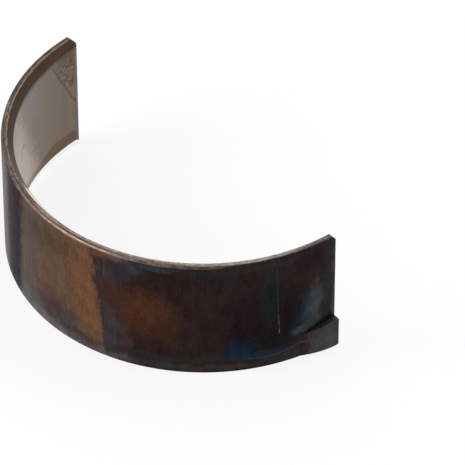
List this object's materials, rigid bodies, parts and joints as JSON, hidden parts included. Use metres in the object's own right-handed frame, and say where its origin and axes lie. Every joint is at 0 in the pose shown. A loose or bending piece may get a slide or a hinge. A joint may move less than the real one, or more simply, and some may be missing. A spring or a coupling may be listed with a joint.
{
  "type": "engine bearing shell",
  "caption": "Half-round plain bearing shell for a connecting rod, with a chamfered bore edge and a pressed locating tang.",
  "frame": {"origin": "on the plain edge's plane, under the middle of the shell's bounding box", "axes": "+Z along the bore's axis, from the plain edge to the edge with the large chamfer; +X from the plain end to the end with the tang; -Y towards the crown of the shell"},
  "size_m": [0.0584, 0.028, 0.02],
  "materials": {
    "bearing_shell": "heat-tinted dark steel back, satin grey plated running surface, bronze in the chamfers"
  },
  "bodies": {
    "root": {"bearing_shell": "bearing_shell"}
  },
  "joints": []
}
